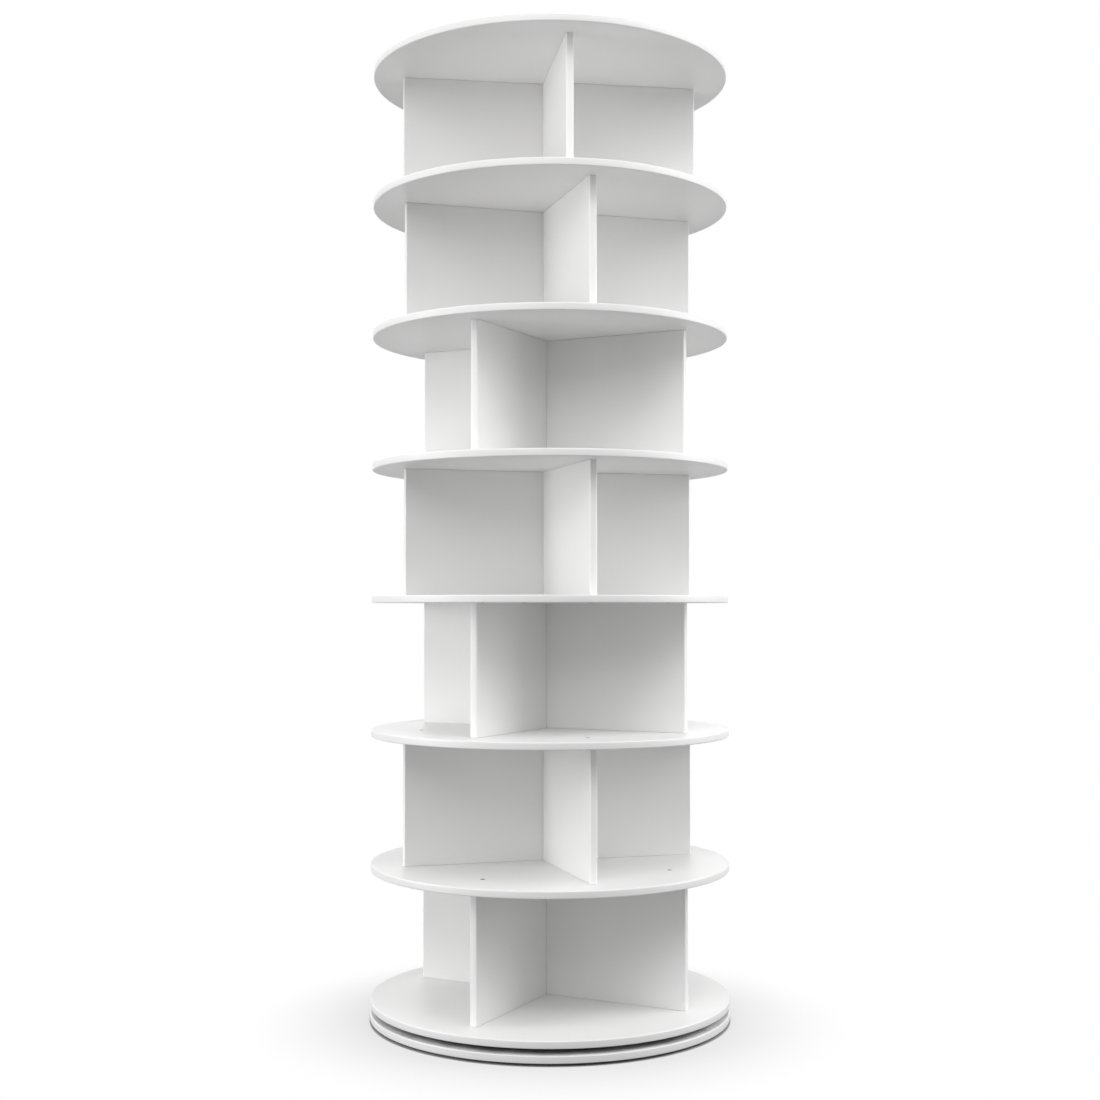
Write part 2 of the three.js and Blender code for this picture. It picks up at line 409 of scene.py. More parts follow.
def useGroup(tree, group, **inputs):
    node = tree.nodes.new("ShaderNodeGroup")
    node.node_tree = group
    for socket in node.inputs:
        value = inputs.get(inputKey(socket))
        if isinstance(value, bpy.types.NodeSocket):
            tree.links.new(value, socket)
        elif value is not None:
            socket.default_value = value
    return node.outputs


def mixColors(tree, factor, first, second):
    mix = newNode(tree, "ShaderNodeMix", {"Factor": factor}, data_type="RGBA")
    for name, value in (("A", first), ("B", second)):
        socket = [s for s in mix.inputs if s.name == name and s.type == "RGBA"][0]
        if isinstance(value, bpy.types.NodeSocket):
            tree.links.new(value, socket)
        else:
            socket.default_value = (*value, 1)
    return [s for s in mix.outputs if s.type == "RGBA"][0]


# A band's darkest and lightest colours
def bandColors(tone):
    swing, warmth = bandTone["swing"], bandTone["warmth"]
    return [(middle + warmth, middle, middle - warmth) for middle in (tone - swing, tone + swing)]


def blendColors(tree, shader, factor, dark, light):
    tree.links.new(mixColors(tree, factor, dark, light), shader.inputs["Base Color"])


# The distance from the tower's axis, from 0 at the near value to 1 at the far one
def byDistance(tree, place, near, far):
    distance = axisDistance(tree, place)
    share = newNode(tree, "ShaderNodeMapRange", {"Value": distance, "From Min": near, "From Max": far})
    return share.outputs[0]


def rangeRoughness(tree, shader, factor, smoothest, roughest):
    spread = newNode(tree, "ShaderNodeMapRange", {
        "Value": factor,
        "From Min": noiseSpan[0],
        "From Max": noiseSpan[1],
        "To Min": smoothest,
        "To Max": roughest,
    })
    tree.links.new(spread.outputs[0], shader.inputs["Roughness"])


def addBump(tree, shader, height, depth):
    bump = newNode(tree, "ShaderNodeBump", {"Height": height, "Distance": depth})
    tree.links.new(bump.outputs[0], shader.inputs["Normal"])


# Colours run with the given marks, roughness with the gloss, and relief is the marks' depth
def dress(tree, shader, marks, colorMarks, colors, roughness, relief=0.0):
    blendColors(tree, shader, colorMarks, *colors)
    rangeRoughness(tree, shader, marks["Gloss"], *roughness)
    if relief:
        addBump(tree, shader, marks["Height"], relief)


def whiteMelamine(pearl):
    material, tree, shader, place = newMaterial("whiteMelamine")
    marks = useGroup(tree, pearl, place=place, pitSize=0.7 * mm, driftSize=0.16)
    dress(tree, shader, marks, marks["Tone"], colors=((0.822, 0.819, 0.816), (0.843, 0.841, 0.839)),
          roughness=(0.40, 0.50), relief=0.02 * mm)
    return material


def edgeBand(name, drawn, stretch, tone):
    material, tree, shader, place = newMaterial(name)
    marks = useGroup(tree, drawn, place=place, stretch=stretch, markSize=0.5 * mm)
    dress(tree, shader, marks, marks["Gloss"], colors=bandColors(tone),
          roughness=(0.40, 0.50), relief=0.006 * mm)
    return material


# A band's rounded edges, buffed and a shade lighter than the band: partly the trimming cutter's whitening,
# partly a painted highlight
def buffedEdgeWithHighlight(name, drawn, stretch, tone):
    material, tree, shader, place = newMaterial(name)
    marks = useGroup(tree, drawn, place=place, stretch=stretch, markSize=0.3 * mm)
    dress(tree, shader, marks, marks["Gloss"], colors=bandColors(tone),
          roughness=(0.30, 0.40), relief=0.004 * mm)
    return material


def mouldedWhite(pearl):
    material, tree, shader, place = newMaterial("whitePlastic")
    marks = useGroup(tree, pearl, place=place, pitSize=0.3 * mm, driftSize=4 * mm)
    dress(tree, shader, marks, marks["Tone"], colors=((0.820, 0.818, 0.815), (0.842, 0.840, 0.838)),
          roughness=(0.34, 0.44), relief=0.006 * mm)
    return material


# The hidden faces beside the turntable, with painted shade that turns them grey towards the middle of the
# gap
def dustyMelamine(pearl):
    material, tree, shader, place = newMaterial("dustyMelamine")
    marks = useGroup(tree, pearl, place=place, pitSize=0.7 * mm, driftSize=0.05)
    unshaded = byDistance(tree, place, gapShade["from"], gapShade["to"])
    shadeMottle = calculate(tree, "ADD", marks["Tone"], gapShade["patchTone"])
    mottledShade = calculate(tree, "MULTIPLY", unshaded, shadeMottle)
    dress(tree, shader, marks, mottledShade, colors=(gapShade["color"], gapShade["cleanColor"]),
          roughness=(0.60, 0.80), relief=0.03 * mm)
    return material


# The core is darker than bare particle board, partly to stand in for the shade in the screw holes
def boardCore(pearl):
    material, tree, shader, place = newMaterial("boardCore")
    marks = useGroup(tree, pearl, place=place, pitSize=0.9 * mm, driftSize=6 * mm)
    dress(tree, shader, marks, marks["Height"], colors=((0.120, 0.100, 0.080), (0.240, 0.205, 0.170)),
          roughness=(0.80, 0.95), relief=0.15 * mm)
    return material


def turnedAluminium(turned):
    material, tree, shader, place = newMaterial("turnedAluminium", metallic=1.0)
    marks = useGroup(tree, turned, place=place, ringWidth=0.35 * mm)
    dress(tree, shader, marks, marks["Gloss"], colors=((0.70, 0.71, 0.72), (0.80, 0.81, 0.82)),
          roughness=(0.26, 0.42), relief=0.01 * mm)
    return material


def platedSteel(drawn):
    material, tree, shader, place = newMaterial("platedSteel", metallic=1.0)
    marks = useGroup(tree, drawn, place=place, stretch=(1, 1, 1), markSize=0.9 * mm)
    dress(tree, shader, marks, marks["Gloss"], colors=((0.52, 0.53, 0.55), (0.66, 0.66, 0.67)),
          roughness=(0.28, 0.44), relief=0.02 * mm)
    return material


# The screws are blackened, partly to stand in for the shade in their sunk holes
def blackenedSteel(drawn):
    material, tree, shader, place = newMaterial("blackenedSteel", metallic=1.0)
    marks = useGroup(tree, drawn, place=place, stretch=(1, 1, 1), markSize=0.7 * mm)
    dress(tree, shader, marks, marks["Gloss"], colors=((0.10, 0.10, 0.105), (0.19, 0.19, 0.195)),
          roughness=(0.34, 0.50), relief=0.02 * mm)
    return material


def polishedSteel(drawn):
    material, tree, shader, place = newMaterial("polishedSteel", metallic=1.0)
    marks = useGroup(tree, drawn, place=place, stretch=(1, 1, 1), markSize=1.6 * mm)
    dress(tree, shader, marks, marks["Gloss"], colors=((0.62, 0.62, 0.63), (0.70, 0.70, 0.71)),
          roughness=(0.10, 0.18))
    return material


def cageNylon(pearl):
    material, tree, shader, place = newMaterial("cageNylon")
    marks = useGroup(tree, pearl, place=place, pitSize=0.3 * mm, driftSize=8 * mm)
    dress(tree, shader, marks, marks["Tone"], colors=((0.72, 0.70, 0.64), (0.80, 0.78, 0.72)),
          roughness=(0.42, 0.55), relief=0.01 * mm)
    return material


def footRubber(pearl):
    material, tree, shader, place = newMaterial("footRubber")
    marks = useGroup(tree, pearl, place=place, pitSize=0.5 * mm, driftSize=12 * mm)
    dress(tree, shader, marks, marks["Tone"], colors=((0.018, 0.018, 0.019), (0.032, 0.032, 0.034)),
          roughness=(0.72, 0.88), relief=0.05 * mm)
    return material


pearl = pearlGroup()
drawn = drawnGroup()
turned = turnedGroup()
melamine = whiteMelamine(pearl)
gapShadeFace = dustyMelamine(pearl)
whitePlastic = mouldedWhite(pearl)
# The rims' band is painted a shade darker and the uprights' band a shade lighter than one white band would
# be, for how the light falls on them
rimBand = edgeBand("rimBand", drawn, alongRim, 0.800)
rimEdge = buffedEdgeWithHighlight("rimEdge", drawn, alongRim, 0.810)
uprightBand = edgeBand("uprightBand", drawn, alongUpright, 0.870)
uprightEdge = buffedEdgeWithHighlight("uprightEdge", drawn, alongUpright, 0.890)
core = boardCore(pearl)
aluminium = turnedAluminium(turned)
steel = platedSteel(drawn)
blackSteel = blackenedSteel(drawn)
ballSteel = polishedSteel(drawn)
nylon = cageNylon(pearl)
rubber = footRubber(pearl)
boardFinishes = (melamine, rimBand, core, rimEdge, gapShadeFace)  # in the order of their numbers
print("finishes ready")


# Fixings between dividers and discs, placed as in the solids

fixings = {
    "screwInset": 30 * mm,  # from a divider's outer end
    "headRadius": 3.4 * mm,
    "shankRadius": 1.8 * mm,
    "headSink": 1.4 * mm,  # depth of a head below the board's face
    "screwLength": 38 * mm,
    "screwTip": 5 * mm,
    "screwSeed": 3,
    "dowelInset": 80 * mm,  # from the tower's axis
    "dowelRadius": 4 * mm,
    "dowelReach": 7 * mm,
    "dowelEase": 0.5 * mm,
    "gap": 0.3 * mm,
    "facets": 24,
}

discNames = sorted(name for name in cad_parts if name.startswith("disc_"))
tierCount = len(discNames) - 1
tiers = range(1, tierCount + 1)
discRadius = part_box("disc_1")[1].x
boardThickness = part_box("disc_1")[1].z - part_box("disc_1")[0].z
dividerOffset = -boardThickness / 2  # a divider's middle, to the side of the axis
dividerSides = ("right", "back", "left", "front")
endReach = 0.5 * mm  # a divider's corners this close to the farthest one are its outer end's


# A divider's length from the axis, and the angle that its tier is turned by, read from its outer end
def measureTier(tier):
    corners = {tuple(round(c, 6) for c in v.co[:2])
               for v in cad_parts[f"divider_{tier}_right"].data.vertices}
    farthest = max(math.hypot(*corner) for corner in corners)
    outer = [corner for corner in corners if math.hypot(*corner) > farthest - endReach]
    x, y = (sum(corner[i] for corner in outer) / len(outer) for i in (0, 1))
    turn = math.atan2(y, x) - math.asin(dividerOffset / math.hypot(x, y))
    return math.sqrt(x * x + y * y - dividerOffset ** 2), turn


dividerReach = measureTier(1)[0]
tierTurns = [measureTier(tier)[1] for tier in tiers]
print("tiers turned by", [round(math.degrees(turn), 2) for turn in tierTurns])


# A spot in each of a tier's dividers, at the given distance along it
def onDividers(distance, tier):
    turns = [tierTurns[tier - 1] + side * math.tau / len(dividerSides) for side in range(len(dividerSides))]
    return [(distance * math.cos(a) - dividerOffset * math.sin(a),
             distance * math.sin(a) + dividerOffset * math.cos(a)) for a in turns]


def screwSpots(tier):
    return onDividers(dividerReach - fixings["screwInset"], tier)


def dowelSpots(tier):
    return onDividers(fixings["dowelInset"], tier)


# Round boards

discs = {
    "facets": 240,
    "jointWidth": 0.3 * mm,  # where the two ends of a rim's band meet
    "jointDepth": 0.08 * mm,
    "jointSeed": 7,
    "jointRange": (60, 120),  # degrees from +X, so at the back
}


def rimProfile(radius, thickness):
    ease, seam, groove = edges["edgeRadius"], edges["seamWidth"] / 2, edges["seamDepth"]
    band = radius - edges["bandThickness"]
    seamLine = [(band - seam, 0.0), (band, groove), (band + seam, 0.0)]
    lower = seamLine + arc((radius - ease, ease), ease, -math.pi / 2, 0.0, edges["edgeSteps"])
    finishes = [bandFinish] * len(seamLine) + [edgeFinish] * edges["edgeSteps"]
    profile = lower + [(r, thickness - z) for r, z in reversed(lower)]
    return profile, finishes + [bandFinish] + finishes[::-1]


# A hole is a profile from its upper end down to its lower one, and a cap closes a blind one
def countersunk(fromTop, thickness):
    head, shank = fixings["headRadius"] + fixings["gap"], fixings["shankRadius"] + fixings["gap"]
    sink = fixings["headSink"]
    depths = [(head, 0.0), (head, sink), (shank, sink + head - shank), (shank, thickness)]
    return [(r, thickness - d) for r, d in depths] if fromTop else [(r, d) for r, d in reversed(depths)]


def cutHole(mesh, profile, centre, thickness, topLoops, bottomLoops, facets):
    rings = sweep(mesh, profile, circleAngles(facets), centre, finish=coreFinish)
    if profile[0][1] > thickness - tiny:
        topLoops.append(rings[0])
    else:
        fillFlat(mesh, [rings[0]], False, finish=coreFinish)
    if profile[-1][1] < tiny:
        bottomLoops.append(rings[-1])
    else:
        fillFlat(mesh, [rings[-1]], True, finish=coreFinish)


def roundBoard(name, height, holes, jointAngle, topFinish=faceFinish, bottomFinish=faceFinish):
    mesh = bmesh.new()
    joint = discs["jointWidth"] / 2 / discRadius
    angles = sorted(circleAngles(discs["facets"]) + [jointAngle - joint, jointAngle, jointAngle + joint])
    dent = angles.index(jointAngle)
    profile, finishes = rimProfile(discRadius, boardThickness)
    rings = sweep(mesh, profile, angles, finish=finishes)
    for ring in rings:
        corner = ring[dent]
        radius = math.hypot(corner.co.x, corner.co.y)
        if radius > discRadius - edges["edgeRadius"] - tiny:
            corner.co.x *= 1 - discs["jointDepth"] / radius
            corner.co.y *= 1 - discs["jointDepth"] / radius
    topLoops, bottomLoops = [rings[-1]], [rings[0]]
    for profile, centre in holes:
        cutHole(mesh, profile, centre, boardThickness, topLoops, bottomLoops, fixings["facets"])
    fillFlat(mesh, topLoops, True, topFinish)
    fillFlat(mesh, bottomLoops, False, bottomFinish)
    bmesh.ops.translate(mesh, verts=mesh.verts, vec=(0, 0, height))
    return newObject(name, mesh, boardFinishes)


# Holes for the fixings of the tier below a disc and of the tier above it
def discHoles(disc):
    socket, depth = fixings["dowelRadius"] + fixings["gap"], fixings["dowelReach"] + fixings["gap"]
    holes = []
    if disc > 1:
        holes += [(countersunk(True, boardThickness), at) for at in screwSpots(disc - 1)]
        holes += [([(socket, depth), (socket, 0.0)], at) for at in dowelSpots(disc - 1)]
    if disc <= tierCount:
        holes += [(countersunk(False, boardThickness), at) for at in screwSpots(disc)]
        upper = [(socket, boardThickness), (socket, boardThickness - depth)]
        holes += [(upper, at) for at in dowelSpots(disc)]
    if disc == 1:
        drill, bite = turntable["ringScrew"]["shankRadius"] + fixings["gap"], turntable["ringScrew"]["bite"]
        holes += [([(drill, bite + fixings["gap"]), (drill, 0.0)], at)
                  for at in ringSpots(innerRingPitch, turntable["screws"])]
    return holes


# Turntable

turntable = {
    "ballCircle": 130 * mm,
    "ballRadius": 2.5 * mm,
    "balls": 16,
    "ballSteps": 3,
    "ringWidth": 21 * mm,
    "split": 2 * mm,  # radial gap between the two rings
    "ringEase": 0.6 * mm,
    "easeSteps": 4,
    "race": 2.9 * mm,  # radius of the groove that the balls run in
    "raceSteps": 14,
    "facets": 192,
    "screws": 4,
    "ringScrew": {
        "headRadius": 4.0 * mm,
        "shankRadius": 2.0 * mm,
        "tip": 3.0 * mm,
        "bite": 8 * mm,  # depth of its hole in the lowest disc
        "seed": 6,
    },
    "baseScrew": {
        "headRadius": 4.6 * mm,
        "shankRadius": 2.5 * mm,
        "tip": 0.8 * mm,
        "seed": 5,
    },
    "cageWall": 1.0 * mm,
    "cageRim": 0.6 * mm,  # cage wall above and below the balls
    "cageEase": 0.2 * mm,
    "pocketRadius": 2.6 * mm,
    "pocketReach": 6 * mm,  # length of the drill that cuts a pocket
}
outerRingPitch = turntable["ballCircle"] + (turntable["split"] + turntable["ringWidth"]) / 2
innerRingPitch = turntable["ballCircle"] - (turntable["split"] + turntable["ringWidth"]) / 2


def ringSpots(radius, count):
    return [(radius * math.cos(a), radius * math.sin(a)) for a in circleAngles(count, math.pi / count)]


# A flat ring whose edge on the ball's side has a groove; side is 1 for the outer ring, -1 for the inner
def bearingRing(name, node, side, ballHeight, holeProfile, pitch):
    low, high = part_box(node)
    height = high.z - low.z
    ballLevel = ballHeight - low.z
    circle, split = turntable["ballCircle"], turntable["split"] / 2
    race, ease = turntable["race"], turntable["ringEase"]
    mouth = math.acos(split / race)
    near = circle + side * split
    far = near + side * turntable["ringWidth"]
    grooved = [(near, 0.0)]
    for i in range(turntable["raceSteps"] + 1):
        swing = mouth * (2 * i / turntable["raceSteps"] - 1)
        grooved.append((circle + side * race * math.cos(swing), ballLevel + race * math.sin(swing)))
    grooved.append((near, height))
    corner = arc((0.0, ease), ease, -math.pi / 2, 0.0, turntable["easeSteps"])
    plain = [(far - side * (ease - r), z) for r, z in corner]
    plain += [(far - side * (ease - r), height - z) for r, z in reversed(corner)]
    outerSide, innerSide = (plain, grooved) if side > 0 else (grooved, plain)
    mesh = bmesh.new()
    angles = circleAngles(turntable["facets"])
    rim = sweep(mesh, outerSide, angles)
    bore = sweep(mesh, innerSide[::-1], angles)
    topLoops, bottomLoops = [rim[-1], bore[0]], [rim[0], bore[-1]]
    for centre in ringSpots(pitch, turntable["screws"]):
        cutHole(mesh, holeProfile(height), centre, height, topLoops, bottomLoops, fixings["facets"])
    fillFlat(mesh, topLoops, True)
    fillFlat(mesh, bottomLoops, False)
    bmesh.ops.translate(mesh, verts=mesh.verts, vec=(0, 0, low.z))
    return newObject(name, mesh, [aluminium] * (coreFinish + 1))  # the holes' walls have the core's number


# The threaded holes in the outer ring
def tappedProfile(height):
    radius = turntable["baseScrew"]["shankRadius"] + fixings["gap"]
    return [(radius, height), (radius, 0.0)]


# A hole with its countersink on the underside
def sunkProfile(screw, thickness):
    head, shank = screw["headRadius"] + fixings["gap"], screw["shankRadius"] + fixings["gap"]
    return [(shank, thickness), (shank, head - shank), (head, 0.0)]


def innerRingProfile(height):
    return sunkProfile(turntable["ringScrew"], height)


# Screws

# Shares of the head's radius
screwShape = {
    "headEdge": 0.06,
    "point": 0.12,  # share of the shank's radius
    "crossReach": 0.58,
    "crossWidth": 0.15,
    "crossDepth": 0.5,
    "crossTaper": 0.62,  # the cross's size at its bottom, as a share of its size at the face
}


def crossLoop(mesh, headRadius, taper, height):
    reach = headRadius * screwShape["crossReach"] * taper
    width = headRadius * screwShape["crossWidth"] * taper
    quarter = [(-reach, -width), (-width, -width), (-width, -reach)]
    corners = []
    for turn in range(4):
        corners += [mesh.verts.new((x, y, height)) for x, y in quarter]
        quarter = [(-y, x) for x, y in quarter]
    return corners


# A countersunk screw with a cross recess, its head's face on z = 0 and its tip below
def screwTemplate(name, headRadius, shankRadius, length, tip):
    mesh = bmesh.new()
    ease = headRadius * screwShape["headEdge"]
    profile = [
        (shankRadius * screwShape["point"], -length),
        (shankRadius, tip - length),
        (shankRadius, shankRadius - headRadius - ease),
        (headRadius, -ease),
        (headRadius - ease, 0.0),
    ]
    rings = sweep(mesh, profile, circleAngles(fixings["facets"]))
    fillFlat(mesh, [rings[0]], False)
    top = crossLoop(mesh, headRadius, 1.0, 0.0)
    bottom = crossLoop(mesh, headRadius, screwShape["crossTaper"], -headRadius * screwShape["crossDepth"])
    addWall(mesh, top, bottom, smooth=False)
    fillFlat(mesh, [rings[-1], top], True)
    fillFlat(mesh, [bottom], True)
    template = newObject(name, mesh)
    markFinishes(template)
    return template


# Screws or caps at the given places; a place is x, y, z and 1 where the tip points up
def placeScrews(name, places, template, seed, finish):
    data = bpy.data.meshes.new(name)
    data.from_pydata([place[:3] for place in places], [], [])
    data.attributes.new("flip", "FLOAT", "POINT").data.foreach_set("value", [place[3] for place in places])
    piece = bpy.data.objects.new(name, data)
    bpy.context.scene.collection.objects.link(piece)
    growWith(piece, atPlaces, screw=template, seed=seed, mainFinish=finish)
    bpy.data.objects.remove(template)
    return piece


# Dividers

flatEnd = 0.999  # least X of the normal of a face that looks straight out


# The inner end is bare core, the outer end has the band, and its rounded edges are buffed and lighter,
# partly as a painted highlight
def dividerFinish(face, length):
    middle = face.calc_center_median().x
    if middle > length - edges["edgeRadius"] and face.normal.x < flatEnd:
        return edgeFinish
    if middle > length - edges["bandThickness"] - edges["seamWidth"] / 2:
        return bandFinish
    return coreFinish if middle < tiny else faceFinish


# A dowel's stub on the lower end and on the upper end, and the ends' own faces
def addDowels(mesh, lower, upper, height):
    radius, reach, ease = fixings["dowelRadius"], fixings["dowelReach"], fixings["dowelEase"]
    stub = [(radius, 0.0), (radius, reach - ease), (radius - ease, reach)]
    centre = (fixings["dowelInset"] - fixings["gap"], dividerOffset)
    angles = circleAngles(fixings["facets"])
    upperStub = sweep(mesh, [(r, height + z) for r, z in stub], angles, centre, coreFinish)
    lowerStub = sweep(mesh, [(r, -z) for r, z in reversed(stub)], angles, centre, coreFinish)
    fillFlat(mesh, [upperStub[-1]], True, coreFinish)
    fillFlat(mesh, [lowerStub[0]], False, coreFinish)
    fillFlat(mesh, [upper, upperStub[0]], True, coreFinish)
    fillFlat(mesh, [lower, lowerStub[-1]], False, coreFinish)


# A divider along +X, one face on y = 0, which the trees turn to its place
def dividerTemplate(length, height):
    ease, seam, groove = edges["edgeRadius"], edges["seamWidth"] / 2, edges["seamDepth"]
    band = length - edges["bandThickness"]
    side = [(0.0, 0.0), (band - seam, 0.0), (band, -groove), (band + seam, 0.0)]
    side += arc((length - ease, -ease), ease, math.pi / 2, 0.0, edges["edgeSteps"])
    outline = [(x, -boardThickness - y) for x, y in side] + side[::-1]
    mesh = bmesh.new()
    lower, upper = [[mesh.verts.new((x, y, z)) for x, y in outline] for z in (0.0, height)]
    addWall(mesh, lower, upper)
    for face in mesh.faces:
        face.normal_update()
        face.material_index = dividerFinish(face, length)
    addDowels(mesh, lower, upper, height)
    return mesh


def windmillTier(tier):
    low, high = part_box(f"divider_{tier}_right")
    bottom = low.z + fixings["dowelReach"]
    height = high.z - low.z - 2 * fixings["dowelReach"]
    piece = newObject(f"windmill_tier_{tier}", dividerTemplate(dividerReach - fixings["gap"], height))
    markFinishes(piece)
    return growWith(piece, aroundAxis, count=len(dividerSides), turn=tierTurns[tier - 1],
                    distance=fixings["gap"], lift=bottom, mainFinish=melamine, bandFinish=uprightBand,
                    coreFinish=core, edgeFinish=uprightEdge)


aroundAxis = aroundAxisTree()
atPlaces = atPlacesTree()
pockets = pocketTree()

jointDraw = random.Random(discs["jointSeed"])
for disc in range(1, tierCount + 2):
    joint = math.radians(jointDraw.uniform(*discs["jointRange"]))
    # The lowest disc's underside carries the painted gap shade
    bottomFinish = gapShadeFinish if disc == 1 else faceFinish
    board = roundBoard(f"round_board_{disc}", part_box(f"disc_{disc}")[0].z, discHoles(disc), joint,
                       bottomFinish=bottomFinish)
    settle(board, "tower", "white_board", f"disc_{disc}")
print("round boards ready")

for tier in tiers:
    settle(windmillTier(tier), "tower", "white_board", *[f"divider_{tier}_{side}" for side in dividerSides])
print("dividers ready")


# Places in the disc under a tier, looking up from below, and in the disc over it, looking down
def placesUnder(tier, sink):
    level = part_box(f"disc_{tier}")[0].z + sink
    return [(x, y, level, 1.0) for x, y in screwSpots(tier)]


def placesOver(tier, sink):
    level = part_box(f"disc_{tier + 1}")[1].z - sink
    return [(x, y, level, 0.0) for x, y in screwSpots(tier)]


screwPlaces = []
for tier in tiers:
    screwPlaces += placesUnder(tier, fixings["headSink"]) + placesOver(tier, fixings["headSink"])
dividerScrew = screwTemplate("dividerScrew", fixings["headRadius"], fixings["shankRadius"],
                             fixings["screwLength"], fixings["screwTip"])
dividerScrews = placeScrews("divider_screws", screwPlaces, dividerScrew, fixings["screwSeed"], blackSteel)
settle(dividerScrews, "tower", "screw_steel")
print("divider screws ready:", len(screwPlaces))


# White caps that close the screw holes in the undersides

caps = {
    "radius": 3.55 * mm,
    "thickness": 1.1 * mm,
    "edge": 0.15 * mm,
    "dimpleRadius": 0.5 * mm,
    "dimpleDepth": 0.25 * mm,
    "seed": 4,
}


def capTemplate():
    radius, edge, dimple = caps["radius"], caps["edge"], caps["dimpleRadius"]
    profile = [
        (radius - edge, -caps["thickness"]),
        (radius, edge - caps["thickness"]),
        (radius, -edge),
        (radius - edge, 0.0),
        (dimple, 0.0),
        (dimple / 2, -caps["dimpleDepth"]),
    ]
    mesh = bmesh.new()
    rings = sweep(mesh, profile, circleAngles(fixings["facets"]))
    fillFlat(mesh, [rings[0]], False)
    fillFlat(mesh, [rings[-1]], True)
    template = newObject("screwCap", mesh)
    markFinishes(template)
    return template


capPlaces = [place for tier in tiers for place in placesUnder(tier, 0.0)]
screwCaps = placeScrews("screw_caps", capPlaces, capTemplate(), caps["seed"], whitePlastic)
settle(screwCaps, "tower", "white_board")
print("screw caps ready:", len(capPlaces))


# Base and bearing

baseHoles = [(sunkProfile(turntable["baseScrew"], boardThickness), at)
             for at in ringSpots(outerRingPitch, turntable["screws"])]
baseJoint = math.radians(jointDraw.uniform(*discs["jointRange"]))
# The base's top carries the painted gap shade
baseBoard = roundBoard("round_base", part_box("base_board")[0].z, baseHoles, baseJoint, topFinish=gapShadeFinish)
settle(baseBoard, "base", "white_board", "base_board")

cageLow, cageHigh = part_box("ball_cage")
ballHeight = (cageLow.z + cageHigh.z) / 2
outerRing = bearingRing("outer_race", "bearing_outer_ring", 1, ballHeight, tappedProfile, outerRingPitch)
settle(outerRing, "base", "bearing_aluminium", "bearing_outer_ring")
innerRing = bearingRing("inner_race", "bearing_inner_ring", -1, ballHeight, innerRingProfile,
                        innerRingPitch)
settle(innerRing, "tower", "bearing_aluminium", "bearing_inner_ring")


def turntableScrews(name, kind, node, body, pitch):
    screw = turntable[kind]
    low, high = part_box(node + "_1")
    template = screwTemplate(kind, screw["headRadius"], screw["shankRadius"], high.z - low.z, screw["tip"])
    places = [(x, y, low.z, 1.0) for x, y in ringSpots(pitch, turntable["screws"])]
    piece = placeScrews(name, places, template, screw["seed"], steel)
    settle(piece, body, "screw_steel", *[f"{node}_{i + 1}" for i in range(turntable["screws"])])


turntableScrews("base_machine_screws", "baseScrew", "base_screw", "base", outerRingPitch)
turntableScrews("ring_wood_screws", "ringScrew", "ring_screw", "tower", innerRingPitch)


# The cage's section runs round its outline with its corners cut, and closes on itself
def cageStrip():
    wall, reach = turntable["cageWall"] / 2, turntable["ballRadius"] + turntable["cageRim"]
    inner, outer = turntable["ballCircle"] - wall, turntable["ballCircle"] + wall
    corner = turntable["cageEase"]
    profile = [
        (inner, -reach + corner),
        (inner + corner, -reach),
        (outer - corner, -reach),
        (outer, -reach + corner),
        (outer, reach - corner),
        (outer - corner, reach),
        (inner + corner, reach),
        (inner, reach - corner),
    ]
    mesh = bmesh.new()
    rings = sweep(mesh, [(r, ballHeight + z) for r, z in profile], circleAngles(turntable["facets"]))
    addWall(mesh, rings[-1], rings[0])
    piece = newObject("cage_strip", mesh)
    markFinishes(piece)
    return growWith(piece, pockets, count=turntable["balls"], turn=math.pi / turntable["balls"],
                    distance=turntable["ballCircle"], lift=ballHeight, mainFinish=nylon,
                    pocketRadius=turntable["pocketRadius"], reach=turntable["pocketReach"])


def bearingBalls():
    mesh = bmesh.new()
    bmesh.ops.create_icosphere(mesh, subdivisions=turntable["ballSteps"], radius=turntable["ballRadius"])
    for face in mesh.faces:
        face.smooth = True
    piece = newObject("bearing_balls", mesh)
    markFinishes(piece)
    return growWith(piece, aroundAxis, count=turntable["balls"], turn=math.pi / turntable["balls"],
                    distance=turntable["ballCircle"], lift=ballHeight, mainFinish=ballSteel)


settle(cageStrip(), "ball_cage", "cage_nylon", "ball_cage")
settle(bearingBalls(), "ball_cage", "screw_steel", "ball_cage")
print("turntable ready")


# Feet

feet = {
    "count": 6,
    "inset": 45 * mm,  # from the base's rim to a foot's centre
    "edge": 1.5 * mm,
    "edgeSteps": 6,
    "topEdge": 0.3 * mm,
    "treadDepth": 0.5 * mm,
    "treadSlope": 0.3 * mm,
    "treads": (4.0 * mm, 6.0 * mm, 9.0 * mm, 11.0 * mm),  # radii where the sole steps in and out
    "facets": 48,
}


def rubberFeet():
    low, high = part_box("foot_1")
    radius = (high.x - low.x) / 2
    height = high.z - low.z
    edge, topEdge, tread = feet["edge"], feet["topEdge"], feet["treadDepth"]
    profile = []
    for i, at in enumerate(feet["treads"]):
        levels = (0.0, tread) if i % 2 == 0 else (tread, 0.0)
        profile += [(at, levels[0]), (at + feet["treadSlope"], levels[1])]
    profile += arc((radius - edge, edge), edge, -math.pi / 2, 0.0, feet["edgeSteps"])
    profile += [(radius, height - topEdge), (radius - topEdge, height)]
    mesh = bmesh.new()
    rings = sweep(mesh, profile, circleAngles(feet["facets"]))
    fillFlat(mesh, [rings[0]], False)
    fillFlat(mesh, [rings[-1]], True)
    piece = newObject("rubber_feet", mesh)
    markFinishes(piece)
    return growWith(piece, aroundAxis, count=feet["count"], turn=math.pi / feet["count"],
                    distance=discRadius - feet["inset"], lift=low.z, mainFinish=rubber)


settle(rubberFeet(), "base", "foot_rubber", *[f"foot_{i + 1}" for i in range(feet["count"])])
print("feet ready")


# Floor, light and camera

